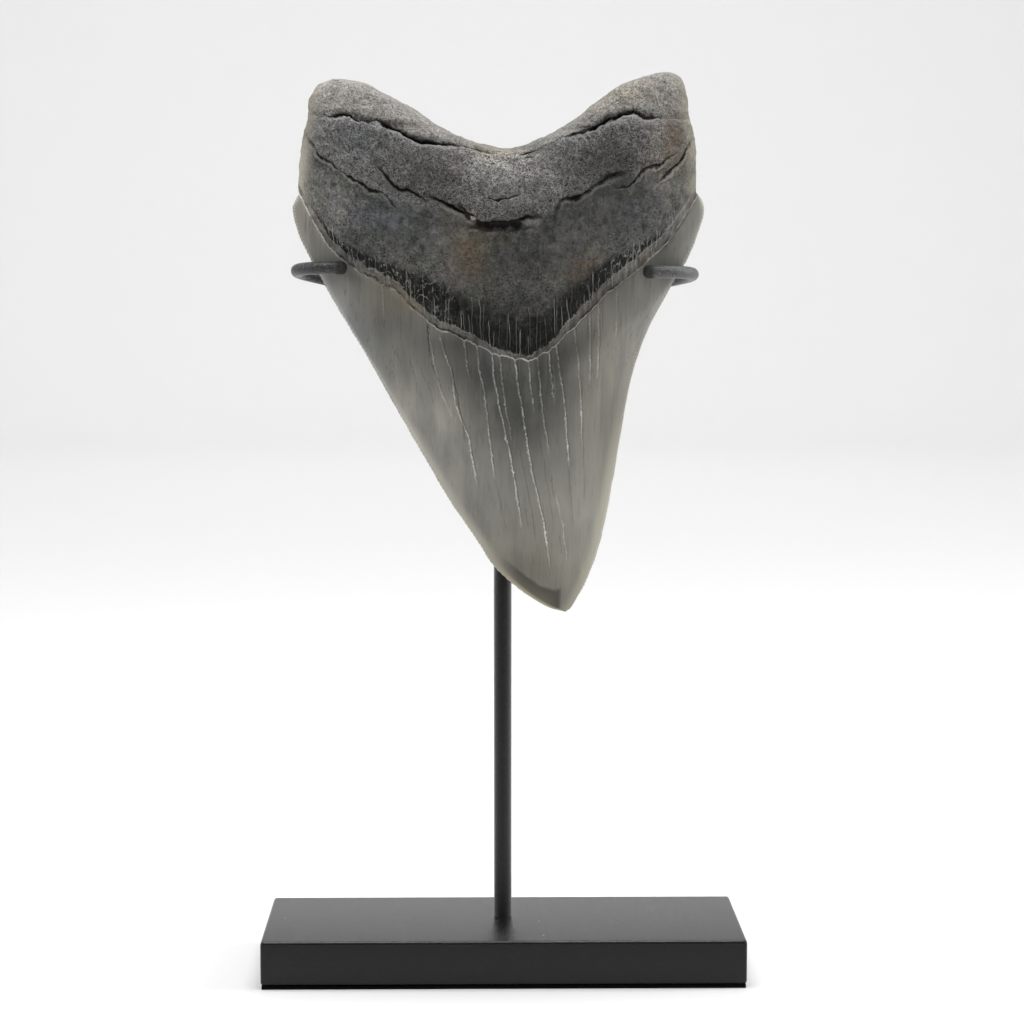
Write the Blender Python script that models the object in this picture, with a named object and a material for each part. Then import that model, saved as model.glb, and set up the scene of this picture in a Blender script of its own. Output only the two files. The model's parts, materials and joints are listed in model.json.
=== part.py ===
# A megalodon tooth, point down, held by two bent-rod hooks on a post and a block base.
# Lengths are in millimetres until MM turns them into Blender's metres. X is the tooth's width,
# -Y is the side that the bulging (lingual) face looks at, and Z is up. The origin is the middle
# of the surface that the stand rests on.

from math import cos, pi, sin

import bmesh
import bpy
import numpy as np
from mathutils import Vector, noise

MM = 0.001
GAP = 0.3  # left between pieces that touch

# ---------------------------------------------------------------- stand
BASE_WIDTH, BASE_DEPTH, BASE_TOP = 127.0, 50.8, 12.7  # 5 x 2 in bar, 1/2 in high with its pad
BASE_EDGE, BASE_EDGE_FACETS = 0.6, 3  # rounding of the block's edges
PAD_THICKNESS, PAD_INSET, PAD_GAP = 0.9, 0.3, 0.1
BASE_BOTTOM = PAD_THICKNESS + PAD_GAP
POST_DIAMETER = 4.76  # 3/16 in rod
POST_SIDES = 32
POST_Y = 3.0
POST_TOP = 178.8
POST_TOP_EDGE, POST_TOP_FACETS = 0.4, 2
POST_SEAT = 7.0  # how deep the post stands in the block
HOLE_CLEARANCE = 0.15
ARM_DIAMETER = 3.3  # 1/8 in rod with its coat
ARM_REACH = 4  # points along each straight stretch of an arm
ARM_BEND_POINTS = 14
ARM_SIDES_RESOLUTION = 6
# For each arm: its side, how far out the bend reaches, where the prong ends, the prong's height
# and place to the front, and how steeply the rear leg falls towards the post
ARMS = {
    "left_arm": dict(side=-1, outer=55.5, tip=40.4, prong_z=187.35, prong_y=-14.3, fall=0.25),
    "right_arm": dict(side=1, outer=51.3, tip=36.1, prong_z=186.35, prong_y=-15.05, fall=0.22),
}

# ---------------------------------------------------------------- tooth
TIP = (16.5, 96.6)
# Side outlines, as (height, x), from the root's lobes down to the tip
LEFT_EDGE = (
    (231.0, -50.1), (225.9, -50.7), (219.8, -52.0), (213.6, -52.9), (208.4, -53.4), (206.9, -53.3),
    (203.0, -54.7), (198.3, -53.9), (193.6, -52.1), (187.6, -49.0), (179.5, -44.6), (163.2, -34.9),
    (150.6, -27.9), (137.9, -20.6), (125.2, -13.2), (115.6, -6.6), (109.2, -2.6), (102.8, 4.2),
    (99.6, 8.7), (97.4, 13.0), TIP[::-1],
)
RIGHT_EDGE = (
    (231.0, 47.7), (228.0, 48.0), (221.4, 49.4), (212.1, 50.5), (207.5, 50.4), (205.4, 51.8),
    (202.4, 52.5), (196.7, 51.0), (190.5, 48.6), (185.2, 45.5), (178.9, 41.9), (169.5, 37.2),
    (160.0, 34.0), (150.5, 32.0), (141.0, 30.4), (131.5, 28.8), (121.9, 27.0), (112.3, 24.7),
    (105.9, 22.3), (99.5, 19.1), (97.4, 17.8), TIP[::-1],
)
# Lines across the bulging face, as (x, height) from the left outline to the right one
CREST = (
    (-50.1, 230.8), (-47.6, 234.7), (-42.2, 236.0), (-37.0, 235.2), (-30.0, 232.1), (-22.6, 227.7),
    (-15.1, 223.0), (-7.5, 219.7), (0.5, 218.1), (10.6, 221.2), (18.9, 225.8), (24.1, 230.1),
    (31.6, 235.1), (37.3, 236.8), (42.7, 237.7), (45.8, 236.2), (47.7, 230.8),
)
UPPER_LEDGE = (
    (-50.6, 226.6), (-44.7, 225.8), (-39.4, 225.9), (-32.8, 224.6), (-27.2, 222.0), (-22.4, 219.8),
    (-13.2, 218.2), (-2.5, 215.6), (6.7, 216.8), (14.9, 220.4), (22.8, 223.0), (29.4, 225.7),
    (33.3, 226.6), (38.9, 225.2), (48.5, 225.6),
)
LOWER_LEDGE = (
    (-51.8, 220.9), (-46.7, 215.4), (-40.9, 211.1), (-34.5, 207.1), (-28.7, 204.7), (-22.6, 203.9),
    (-17.5, 202.6), (-10.6, 199.9), (-7.3, 198.7), (-1.0, 197.5), (5.7, 198.5), (9.7, 200.5),
    (14.8, 204.0), (23.2, 207.3), (29.6, 210.2), (34.7, 211.1), (39.8, 213.6), (45.1, 216.9),
    (49.5, 220.9),
)
BOURLETTE_TOP = (
    (-53.3, 208.2), (-47.8, 201.3), (-42.2, 195.7), (-33.2, 190.6), (-20.7, 186.5), (-11.5, 183.4),
    (-3.2, 181.8), (9.6, 181.9), (16.8, 185.4), (27.8, 191.4), (36.3, 194.9), (45.0, 200.9),
    (50.4, 208.2),
)
ENAMEL_MARGIN = (
    (-53.3, 206.9), (-48.7, 198.1), (-44.4, 191.7), (-37.0, 185.8), (-29.0, 181.9), (-22.6, 175.9),
    (-16.1, 171.4), (-8.9, 168.3), (-2.5, 165.4), (6.1, 163.6), (13.3, 167.4), (18.5, 172.1),
    (26.2, 179.9), (37.3, 188.6), (43.4, 194.8), (47.5, 200.4), (51.2, 206.4),
)
# The same margin on the flat back, where it is a shallow arch
BACK_MARGIN = (
    (-53.3, 206.9), (-40.0, 202.0), (-20.0, 197.8), (0.0, 196.2), (20.0, 197.9), (38.0, 202.0),
    (51.2, 206.4),
)
LINES = (CREST, UPPER_LEDGE, LOWER_LEDGE, BOURLETTE_TOP, ENAMEL_MARGIN)
MARGIN, POINT = 4, 5  # levels: 0 to 4 are the lines above in that order, 5 is the tip

# Profiles down the middle of the tooth, as (level, value): the Y of the front, of the back and of
# the side outline, how far the back has come from crest to margin, and how blade-like the section is
FRONT_Y = (
    (0, -10.5), (0.04, -13.6), (0.12, -16.2), (0.3, -18.8), (0.6, -20.8), (0.97, -22.0),
    (1.0, -21.5), (1.03, -23.0), (1.12, -23.8), (1.45, -24.8), (1.75, -25.1), (1.93, -24.8),
    (1.99, -23.7), (2.02, -21.6), (2.08, -22.9), (2.2, -23.3), (2.6, -22.8), (3.0, -21.6),
    (3.25, -20.6), (3.6, -19.4), (3.94, -18.5), (4.0, -19.4), (4.12, -19.5), (4.3, -17.9),
    (4.5, -15.2), (4.7, -11.9), (4.85, -8.9), (4.95, -6.5), (5, -5.0),
)
BACK_Y = (
    (0, -10.5), (0.04, -7.4), (0.12, -4.8), (0.3, -2.4), (0.7, -0.5), (1.2, 0.3), (2, 0.8),
    (3, 0.8), (3.6, 0.3), (4, -0.1), (4.4, 0.0), (4.7, -1.0), (4.9, -3.2), (5, -5.0),
)
SIDE_Y = ((0, -10.5), (1, -11.0), (2, -10.4), (3, -6.6), (4, -5.4), (4.3, -4.8), (5, -5.0))
BACK_SHARE = ((0, 0), (0.3, 0.05), (1, 0.22), (2, 0.5), (3, 0.85), (4, 1))
BLADE_SHARE = ((0, 0), (2, 0), (3, 0.3), (4, 0.85), (4.3, 1), (5, 1))
# Rows of the mesh between levels, closer where the surface steps
ROWS = (
    (0, 0.04, 1), (0.04, 0.12, 1), (0.12, 0.3, 2), (0.3, 0.97, 4), (0.97, 1.03, 2),
    (1.03, 1.12, 1), (1.12, 1.93, 6), (1.93, 2.08, 4), (2.08, 3.0, 6), (3.0, 3.94, 5),
    (3.94, 4.0, 1), (4.0, 4.16, 5), (4.16, 4.88, 12), (4.88, 5, 5),
)
COLUMNS = 36  # faces across each side of the tooth
ROOT_ROUND, BLADE_ROUND = 3.0, 2.1  # powers of the root's and the blade's sections
SAG_FADE = 1.25  # power by which the margin's arch fades towards the tip
BACK_MEETS = 6  # power by which the back's rows bend to meet the front's at the sides
CAVITY = dict(x=-1.0, width=7.0, depth=2.2, levels=(1.97, 2.06))  # hollow in the lower ledge's middle
# Lumps: their height on the root and on the blade, their size, how much finer and lower the second
# set is, the power that keeps them off the sides, and how fast they start at the crest and the tip
BUMP = dict(root=0.35, blade=0.06, size=7.0, finer=2.2, lower=0.5, sides=8, from_crest=4, from_tip=8)
SMOOTH_BACK = 3  # level below which the back's lumps are as low as the blade's
MERGE = 0.001


def clear_scene():
    for thing in list(bpy.data.objects):
        bpy.data.objects.remove(thing, do_unlink=True)


def material(name, colour, roughness, metallic=0.0):
    made = bpy.data.materials.new(name)
    made.use_nodes = True
    shader = made.node_tree.nodes["Principled BSDF"]
    shader.inputs["Base Color"].default_value = (*colour, 1)
    shader.inputs["Roughness"].default_value = roughness
    shader.inputs["Metallic"].default_value = metallic
    made.diffuse_color = (*colour, 1)
    return made


def add_object(name, data, finish):
    made = bpy.data.objects.new(name, data)
    bpy.context.collection.objects.link(made)
    data.materials.append(finish)
    return made


def mesh_object(name, bm, finish, smooth_angle=None):
    bmesh.ops.recalc_face_normals(bm, faces=bm.faces)
    mesh = bpy.data.meshes.new(name)
    bm.to_mesh(mesh)
    bm.free()
    if smooth_angle:
        mesh.shade_smooth()
        mesh.set_sharp_from_angle(angle=smooth_angle)
    return add_object(name, mesh, finish)


def block(name, size, centre, finish, rounding=0.0):
    bm = bmesh.new()
    bmesh.ops.create_cube(bm, size=1)
    bmesh.ops.scale(bm, vec=Vector(size) * MM, verts=bm.verts)
    if rounding:
        bmesh.ops.bevel(bm, geom=bm.edges[:], offset=rounding * MM, segments=BASE_EDGE_FACETS,
                        profile=0.5, affect="EDGES", material=-1)
    made = mesh_object(name, bm, finish)
    made.location = Vector(centre) * MM
    return made


def rod(name, diameter, bottom, top, centre, finish, rounding=0.0):
    bm = bmesh.new()
    bmesh.ops.create_cone(bm, cap_ends=True, segments=POST_SIDES, radius1=diameter * MM / 2,
                          radius2=diameter * MM / 2, depth=(top - bottom) * MM)
    if rounding:
        rim = [e for e in bm.edges if all(v.co.z > 0 for v in e.verts)]
        bmesh.ops.bevel(bm, geom=rim, offset=rounding * MM, segments=POST_TOP_FACETS, profile=0.5,
                        affect="EDGES", material=-1)
    made = mesh_object(name, bm, finish, smooth_angle=pi / 5)
    made.location = Vector((centre[0], centre[1], (top + bottom) / 2)) * MM
    return made


def bent_rod(name, points, diameter, finish):
    data = bpy.data.curves.new(name, "CURVE")
    data.dimensions = "3D"
    data.bevel_depth = diameter * MM / 2
    data.bevel_resolution = ARM_SIDES_RESOLUTION
    data.use_fill_caps = True
    spline = data.splines.new("POLY")
    spline.points.add(len(points) - 1)
    for place, point in zip(spline.points, points):
        place.co = (*(Vector(point) * MM), 1)
    return add_object(name, data, finish)


def arm_path(side, outer, tip, prong_z, prong_y, fall):
    """Centre line from the prong's tip, round the bend and down the rear leg to the post."""
    radius = (POST_Y - prong_y) / 2
    bend_x = outer - ARM_DIAMETER / 2 - radius
    path = [Vector((x, prong_y, prong_z)) for x in np.linspace(tip, bend_x, ARM_REACH)[:-1]]
    for step in range(ARM_BEND_POINTS + 1):
        turn = pi * step / ARM_BEND_POINTS
        drop = fall * radius * turn**2 / (2 * pi)  # starts level and ends as steep as the leg
        path.append(Vector((bend_x + radius * sin(turn), POST_Y - radius * (1 + cos(turn)),
                            prong_z - drop)))
    bend_end = path[-1]
    run = bend_end.x - POST_DIAMETER / 2 - GAP
    for step in range(1, ARM_REACH + 1):
        along = run * step / ARM_REACH
        path.append(bend_end + Vector((-along, 0, -fall * along)))
    return [(side * point.x, point.y, point.z) for point in path]


def through(points, at):
    """Smooth value at `at` of the curve through (place, value) points, without overshoot."""
    places, values = np.array(sorted(points), float).T
    steps = np.diff(places)
    slopes = np.diff(values) / steps
    tangents = np.concatenate([slopes[:1], slopes[1:], slopes[-1:]])
    inner = np.zeros(len(slopes) - 1)
    same_way = slopes[:-1] * slopes[1:] > 0
    inner[same_way] = 2 / (1 / slopes[:-1][same_way] + 1 / slopes[1:][same_way])
    tangents[1:-1] = inner
    at = np.clip(at, places[0], places[-1])
    i = np.clip(np.searchsorted(places, at) - 1, 0, len(steps) - 1)
    t = (at - places[i]) / steps[i]
    return (values[i] * (2 * t**3 - 3 * t**2 + 1) + values[i + 1] * (3 * t**2 - 2 * t**3)
            + steps[i] * (tangents[i] * (t**3 - 2 * t**2 + t) + tangents[i + 1] * (t**3 - t**2)))


def line_height(line, s):
    left, right = line[0][0], line[-1][0]
    return through(line, left + (right - left) * (s + 1) / 2)


def crown_height(margin, level, s):
    """Height of a row between the enamel's margin and the tip, where the margin's arch fades out."""
    done = level - MARGIN
    chord = np.interp(s, (-1, 1), (margin[0][1], margin[-1][1]))
    sag = chord - line_height(margin, s)
    return chord + (TIP[1] - chord) * done - sag * (1 - done) ** SAG_FADE


def front_height(level, s):
    """Height of the row at `level` where it crosses the front, at s from -1 (left) to 1 (right)."""
    if level >= MARGIN:
        return crown_height(ENAMEL_MARGIN, level, s)
    above = int(level)
    upper, lower = line_height(LINES[above], s), line_height(LINES[above + 1], s)
    return upper + (lower - upper) * (level - above)


def back_height(level, s):
    if level >= MARGIN:
        return crown_height(BACK_MARGIN, level, s)
    share = through(BACK_SHARE, level)
    flat = line_height(CREST, s) * (1 - share) + line_height(BACK_MARGIN, s) * share
    ends = 1 - abs(s) ** BACK_MEETS
    return flat * ends + front_height(level, s) * (1 - ends)


def section(level, s):
    root = (1 - abs(s) ** ROOT_ROUND) ** 0.5
    blade = 1 - abs(s) ** BLADE_ROUND
    share = through(BLADE_SHARE, level)
    return root * (1 - share) + blade * share


def surface_point(level, s, front):
    """A point of the tooth's skin, in millimetres."""
    ends = [front_height(level, end) for end in (-1, 1)]
    left, right = through(LEFT_EDGE, ends[0]), through(RIGHT_EDGE, ends[1])
    x = left + (right - left) * (s + 1) / 2
    side_y = through(SIDE_Y, level)
    bulge = section(level, s)
    if not front:
        return Vector((x, side_y + (through(BACK_Y, level) - side_y) * bulge, back_height(level, s)))
    y = side_y + (through(FRONT_Y, level) - side_y) * bulge
    hollow = max(0.0, 1 - ((x - CAVITY["x"]) / CAVITY["width"]) ** 2)
    top, bottom = CAVITY["levels"]
    if top < level < bottom:
        y += CAVITY["depth"] * hollow
    return Vector((x, y, front_height(level, s)))


def row_levels():
    levels = [0.0]
    for start, end, count in ROWS:
        levels += [start + (end - start) * (step + 1) / count for step in range(count)]
    return levels


def lump(point, level, s, front):
    """How far the rough surface stands out at a point, in millimetres."""
    smooth = level > MARGIN or not front and level > SMOOTH_BACK
    height = BUMP["blade"] if smooth else BUMP["root"]
    height *= 1 - s ** BUMP["sides"]
    height *= min(1, level * BUMP["from_crest"], (POINT - level) * BUMP["from_tip"])
    coarse = noise.noise(point / BUMP["size"])
    return height * (coarse + BUMP["lower"] * noise.noise(point * BUMP["finer"] / BUMP["size"]))


def tooth(finish):
    """A grid whose rows run round the tooth and whose columns run from crest to tip."""
    levels = row_levels()
    bm = bmesh.new()
    bmesh.ops.create_grid(bm, x_segments=2 * COLUMNS, y_segments=len(levels) - 1, size=1)
    for vert in bm.verts:
        column = round((vert.co.x + 1) * COLUMNS)
        row = round((vert.co.y + 1) / 2 * (len(levels) - 1))
        front = column <= COLUMNS
        across = column / COLUMNS if front else 2 - column / COLUMNS
        s = sin(pi / 2 * (2 * across - 1))
        point = surface_point(levels[row], s, front)
        point.y += lump(point, levels[row], s, front) * (1 if front else -1)
        vert.co = point * MM
    bmesh.ops.remove_doubles(bm, verts=bm.verts, dist=MERGE * MM)
    bmesh.ops.triangulate(bm, faces=bm.faces)
    return mesh_object("megalodon_tooth", bm, finish, smooth_angle=pi / 6)


def stand(coat, felt):
    pad_size = (BASE_WIDTH - 2 * PAD_INSET, BASE_DEPTH - 2 * PAD_INSET, PAD_THICKNESS)
    block("base_pad", pad_size, (0, 0, PAD_THICKNESS / 2), felt)
    base_height = BASE_TOP - BASE_BOTTOM
    base = block("base", (BASE_WIDTH, BASE_DEPTH, base_height),
                 (0, 0, BASE_BOTTOM + base_height / 2), coat, BASE_EDGE)
    hole = rod("post_hole", POST_DIAMETER + 2 * HOLE_CLEARANCE, BASE_TOP - POST_SEAT - GAP,
               BASE_TOP + POST_SEAT, (0, POST_Y), coat)
    hole.hide_render = True
    hole.display_type = "WIRE"
    cut = base.modifiers.new("post hole", "BOOLEAN")
    cut.object = hole
    cut.operation = "DIFFERENCE"
    rod("post", POST_DIAMETER, BASE_TOP - POST_SEAT, POST_TOP, (0, POST_Y), coat, POST_TOP_EDGE)
    for name, sizes in ARMS.items():
        bent_rod(name, arm_path(**sizes), ARM_DIAMETER, coat)


clear_scene()
stand(material("powder coat", (0.045, 0.047, 0.049), 0.6), material("felt", (0.012, 0.012, 0.013), 0.95))
tooth(material("fossil", (0.19, 0.19, 0.175), 0.5))
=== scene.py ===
# Looks of a megalodon tooth on its display stand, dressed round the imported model.
# Sizes are in millimetres until mm turns them into metres. X is the tooth's width, the bulging
# face looks along -Y and Z is up. The origin is the middle of the surface under the stand.

import json
from math import cos, pi, radians, sin

import bmesh
import bpy
import numpy as np
from mathutils import Matrix, Vector, noise

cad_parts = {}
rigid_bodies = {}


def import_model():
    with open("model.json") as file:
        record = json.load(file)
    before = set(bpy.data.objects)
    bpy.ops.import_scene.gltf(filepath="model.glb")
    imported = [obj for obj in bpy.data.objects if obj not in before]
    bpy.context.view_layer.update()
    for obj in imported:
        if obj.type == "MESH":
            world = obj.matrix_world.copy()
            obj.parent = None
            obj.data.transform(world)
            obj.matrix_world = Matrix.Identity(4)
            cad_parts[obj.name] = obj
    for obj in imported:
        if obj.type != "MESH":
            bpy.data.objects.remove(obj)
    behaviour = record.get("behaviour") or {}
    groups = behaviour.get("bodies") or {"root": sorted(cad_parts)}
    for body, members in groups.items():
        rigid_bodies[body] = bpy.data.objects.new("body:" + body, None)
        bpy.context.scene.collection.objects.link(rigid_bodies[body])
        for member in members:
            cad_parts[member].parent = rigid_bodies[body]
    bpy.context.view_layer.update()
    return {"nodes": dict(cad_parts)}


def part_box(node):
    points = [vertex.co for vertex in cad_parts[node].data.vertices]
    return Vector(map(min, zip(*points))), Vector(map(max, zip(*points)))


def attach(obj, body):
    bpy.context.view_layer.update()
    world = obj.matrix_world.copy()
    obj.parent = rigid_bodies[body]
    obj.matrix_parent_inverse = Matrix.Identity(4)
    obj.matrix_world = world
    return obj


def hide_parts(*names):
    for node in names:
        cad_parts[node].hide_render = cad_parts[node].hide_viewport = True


for startupThing in list(bpy.data.objects):
    bpy.data.objects.remove(startupThing, do_unlink=True)
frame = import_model()
mm = 0.001
print("frame loaded:", ", ".join(sorted(frame["nodes"])))


# Small helpers for objects

def addPiece(name, mesh, finish, node=None, onStage=False):
    piece = bpy.data.objects.new(name, mesh)
    bpy.context.scene.collection.objects.link(piece)
    piece.data.materials.clear()
    piece.data.materials.append(finish)
    if onStage:
        return piece
    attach(piece, "root")
    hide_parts(node)
    return piece


def meshFrom(bm, name, smoothAngle):
    bmesh.ops.recalc_face_normals(bm, faces=bm.faces)
    mesh = bpy.data.meshes.new(name)
    bm.to_mesh(mesh)
    bm.free()
    mesh.shade_smooth()
    mesh.set_sharp_from_angle(angle=smoothAngle)
    return mesh


def setValues(mesh, name, values):  # one number for each vertex, read by the materials
    layer = mesh.attributes.get(name) or mesh.attributes.new(name, "FLOAT", "POINT")
    layer.data.foreach_set("value", np.asarray(values, np.float32))


def getValues(mesh, name):
    values = np.empty(len(mesh.vertices), np.float32)
    mesh.attributes[name].data.foreach_get("value", values)
    return values.astype(float)


def getPoints(mesh, what="co"):
    flat = np.empty(len(mesh.vertices) * 3, np.float32)
    mesh.vertices.foreach_get(what, flat)
    return flat.reshape(-1, 3).astype(float)


def step(values, low, high):  # 0 below low, 1 above high, smooth between
    share = np.clip((values - low) / (high - low), 0, 1)
    return share * share * (3 - 2 * share)


def roughNoise(points, size, octaves=3, shift=0):  # about -1 to 1
    scaled = (points / size + shift).tolist()
    return np.array([noise.fractal(point, 0.9, 2.1, octaves) for point in scaled])


# Small helpers for materials

class Finish:
    # One procedural material. Its place is the object's own coordinates in millimetres.
    def __init__(self, name):
        self.material = bpy.data.materials.new(name)
        self.material.use_nodes = True
        self.tree = self.material.node_tree
        self.shader = self.tree.nodes["Principled BSDF"]
        metres = self.add("TexCoord").outputs["Object"]
        self.place = self.add("VectorMath", {0: metres, 1: (1000,) * 3}, operation="MULTIPLY").outputs[0]

    def add(self, kind, inputs=None, **settings):
        made = self.tree.nodes.new("ShaderNode" + kind)
        for name, value in settings.items():
            setattr(made, name, value)
        for socket, value in (inputs or {}).items():
            self.plug(made.inputs[socket], value)
        return made

    def plug(self, socket, value):
        if isinstance(value, bpy.types.NodeSocket):
            self.tree.links.new(value, socket)
        else:
            socket.default_value = value

    def math(self, operation, first, second=0, clamp=False):
        return self.add("Math", {0: first, 1: second}, operation=operation, use_clamp=clamp).outputs[0]

    def value(self, name):
        return self.add("Attribute", attribute_name=name).outputs["Fac"]

    def height(self):
        return self.add("SeparateXYZ", {0: self.place}).outputs[2]

    def stretched(self, x, y, z):
        return self.add("VectorMath", {0: self.place, 1: (x, y, z)}, operation="MULTIPLY").outputs[0]

    def grain(self, size, detail=2, roughness=0.5, distortion=0, place=None):
        inputs = {"Vector": place or self.place, "Scale": 1 / size, "Detail": detail,
                  "Roughness": roughness, "Distortion": distortion}
        return self.add("TexNoise", inputs).outputs["Fac"]

    def cells(self, size, place):
        return self.add("TexVoronoi", {"Vector": place, "Scale": 1 / size}).outputs["Distance"]

    def ramp(self, value, low, high, start=0, end=1):
        inputs = {"Value": value, "From Min": low, "From Max": high, "To Min": start, "To Max": end}
        return self.add("MapRange", inputs, interpolation_type="SMOOTHSTEP").outputs["Result"]

    def times(self, *values):
        product = values[0]
        for value in values[1:]:
            product = self.math("MULTIPLY", product, value)
        return product

    def plus(self, first, second):
        return self.math("ADD", first, second)

    def minus(self, first, second):
        return self.math("SUBTRACT", first, second)

    def size(self, value):
        return self.math("ABSOLUTE", value)

    def greater(self, first, second):
        return self.math("MAXIMUM", first, second)

    def line(self, name, rag, wider=0):  # shows where the value of that name is within 1 of zero
        away = self.minus(self.size(self.plus(self.value(name), rag)), wider)
        return self.times(self.ramp(away, 1, 0.4), self.value(name + "Show"))

    def around(self, value, width):  # 1 at zero, 0 from width away
        return self.ramp(self.size(value), width, 0.3 * width)

    def threads(self, size, width, place=None):  # a network of thin wandering lines
        return self.around(self.minus(self.grain(size, 2, 0.5, 0.5, place), 0.5), width)

    def mix(self, share, first, second, blend="MIX"):
        inputs = {0: share, 6: self.colour(first), 7: self.colour(second)}
        return self.add("Mix", inputs, data_type="RGBA", blend_type=blend).outputs[2]

    def colour(self, given):
        return given if isinstance(given, bpy.types.NodeSocket) else (*given, 1)

    def layers(self, colour, *layers):  # each is (share, colour) and covers those before it
        for share, over in layers:
            colour = self.mix(share, colour, over)
        return colour

    def bump(self, height, distance, strength=1, under=None):
        inputs = {"Height": height, "Distance": distance * mm, "Strength": strength}
        if under:
            inputs["Normal"] = under
        return self.add("Bump", inputs).outputs["Normal"]

    def set(self, **sockets):
        for name, value in sockets.items():
            self.plug(self.shader.inputs[name.replace("_", " ")], value)
        return self.material


# The tooth's form

toothEdges = {  # side outlines as (height, x), and the point as (x, height)
    "left": (
        (231, -50.1), (225.9, -50.7), (219.8, -52), (213.6, -52.9), (208.4, -53.4), (206.9, -53.3),
        (203, -54.7), (198.3, -53.9), (193.6, -52.1), (187.6, -49), (179.5, -44.6), (163.2, -34.9),
        (150.6, -27.9), (137.9, -20.6), (125.2, -13.2), (115.6, -6.6), (109.2, -2.6), (102.8, 4.2),
        (99.6, 8.7), (97.4, 13), (96.6, 16.5),
    ),
    "right": (
        (231, 47.7), (228, 48), (221.4, 49.4), (212.1, 50.5), (207.5, 50.4), (205.4, 51.8),
        (202.4, 52.5), (196.7, 51), (190.5, 48.6), (185.2, 45.5), (178.9, 41.9), (169.5, 37.2),
        (160, 34), (150.5, 32), (141, 30.4), (131.5, 28.8), (121.9, 27), (112.3, 24.7),
        (105.9, 22.3), (99.5, 19.1), (97.4, 17.8), (96.6, 16.5),
    ),
    "tip": (16.5, 96.6),
}
toothLines = (  # crest, upper ledge, lower ledge, top of the dark band, enamel margin: (x, height)
    ((-50.1, 230.8), (-47.6, 234.7), (-42.2, 236), (-37, 235.2), (-30, 232.1), (-22.6, 227.7),
     (-15.1, 223), (-7.5, 219.7), (0.5, 218.1), (10.6, 221.2), (18.9, 225.8), (24.1, 230.1),
     (31.6, 235.1), (37.3, 236.8), (42.7, 237.7), (45.8, 236.2), (47.7, 230.8)),
    ((-50.6, 226.6), (-44.7, 225.8), (-39.4, 225.9), (-32.8, 224.6), (-27.2, 222), (-22.4, 219.8),
     (-13.2, 218.2), (-2.5, 215.6), (6.7, 216.8), (14.9, 220.4), (22.8, 223), (29.4, 225.7),
     (33.3, 226.6), (38.9, 225.2), (48.5, 225.6)),
    ((-51.8, 220.9), (-46.7, 215.4), (-40.9, 211.1), (-34.5, 207.1), (-28.7, 204.7), (-22.6, 203.9),
     (-17.5, 202.6), (-10.6, 199.9), (-7.3, 198.7), (-1, 197.5), (5.7, 198.5), (9.7, 200.5),
     (14.8, 204), (23.2, 207.3), (29.6, 210.2), (34.7, 211.1), (39.8, 213.6), (45.1, 216.9),
     (49.5, 220.9)),
    ((-53.3, 208.2), (-47.8, 201.3), (-42.2, 195.7), (-33.2, 190.6), (-20.7, 186.5), (-11.5, 183.4),
     (-3.2, 181.8), (9.6, 181.9), (16.8, 185.4), (27.8, 191.4), (36.3, 194.9), (45, 200.9),
     (50.4, 208.2)),
    ((-53.3, 206.9), (-48.7, 198.1), (-44.4, 191.7), (-37, 185.8), (-29, 181.9), (-22.6, 175.9),
     (-16.1, 171.4), (-8.9, 168.3), (-2.5, 165.4), (6.1, 163.6), (13.3, 167.4), (18.5, 172.1),
     (26.2, 179.9), (37.3, 188.6), (43.4, 194.8), (47.5, 200.4), (51.2, 206.4)),
)
backMargin = (
    (-53.3, 206.9), (-40, 202), (-20, 197.8), (0, 196.2), (20, 197.9), (38, 202),
    (51.2, 206.4),
)
marginLevel = 4  # levels 0 to 4 are the lines above in order, and 5 is the point
toothProfiles = {  # (level, value) down the middle
    "frontY": (
        (0, -10.5), (0.04, -13.6), (0.12, -16.2), (0.3, -18.8), (0.6, -20.8), (0.94, -22.1),
        (1, -22.2), (1.06, -23.1), (1.14, -23.8), (1.45, -24.8), (1.75, -25.1), (1.93, -24.8),
        (2, -24.1), (2.07, -23.5), (2.2, -23.4), (2.6, -22.8), (3, -21.6), (3.25, -20.6),
        (3.6, -19.5), (3.94, -18.9), (4, -19), (4.12, -19.2), (4.3, -17.9), (4.5, -15.2),
        (4.7, -11.9), (4.85, -8.9), (4.95, -6.5), (5, -5),
    ),
    "backY": (
        (0, -10.5), (0.04, -7.4), (0.12, -4.8), (0.3, -2.4), (0.7, -0.5), (1.2, 0.3), (2, 0.8),
        (3, 0.8), (3.6, 0.3), (4, -0.1), (4.4, 0), (4.7, -1), (4.9, -3.2), (5, -5),
    ),
    "sideY": ((0, -10.5), (1, -11), (2, -10.4), (3, -6.6), (4, -5.4), (4.3, -4.8), (5, -5)),
    "backShare": ((0, 0), (0.3, 0.05), (1, 0.22), (2, 0.5), (3, 0.85), (4, 1)),
    "bladeShare": ((0, 0), (2, 0), (3, 0.3), (4, 0.85), (4.3, 1), (5, 1)),
    "rootRound": 3,
    "bladeRound": 2.1,
    "sagFade": 1.25,
}
toothGrid = {
    "columns": 100,  # faces across the back
    "frontFiner": 4,  # times as many across the front
    "rows": (  # (from level, to level, faces)
        (0, 0.06, 3), (0.06, 0.3, 6), (0.3, 0.85, 10), (0.85, 1.15, 14), (1.15, 1.85, 22),
        (1.85, 2.15, 18), (2.15, 2.9, 20), (2.9, 3.9, 24), (3.9, 4.06, 14), (4.06, 4.9, 56),
        (4.9, 5, 9),
    ),
    "edgeCuts": 8,  # extra points between rows along the cutting edges
    "spread": 0.5,  # how much closer the columns stand at the sides
}


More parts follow.
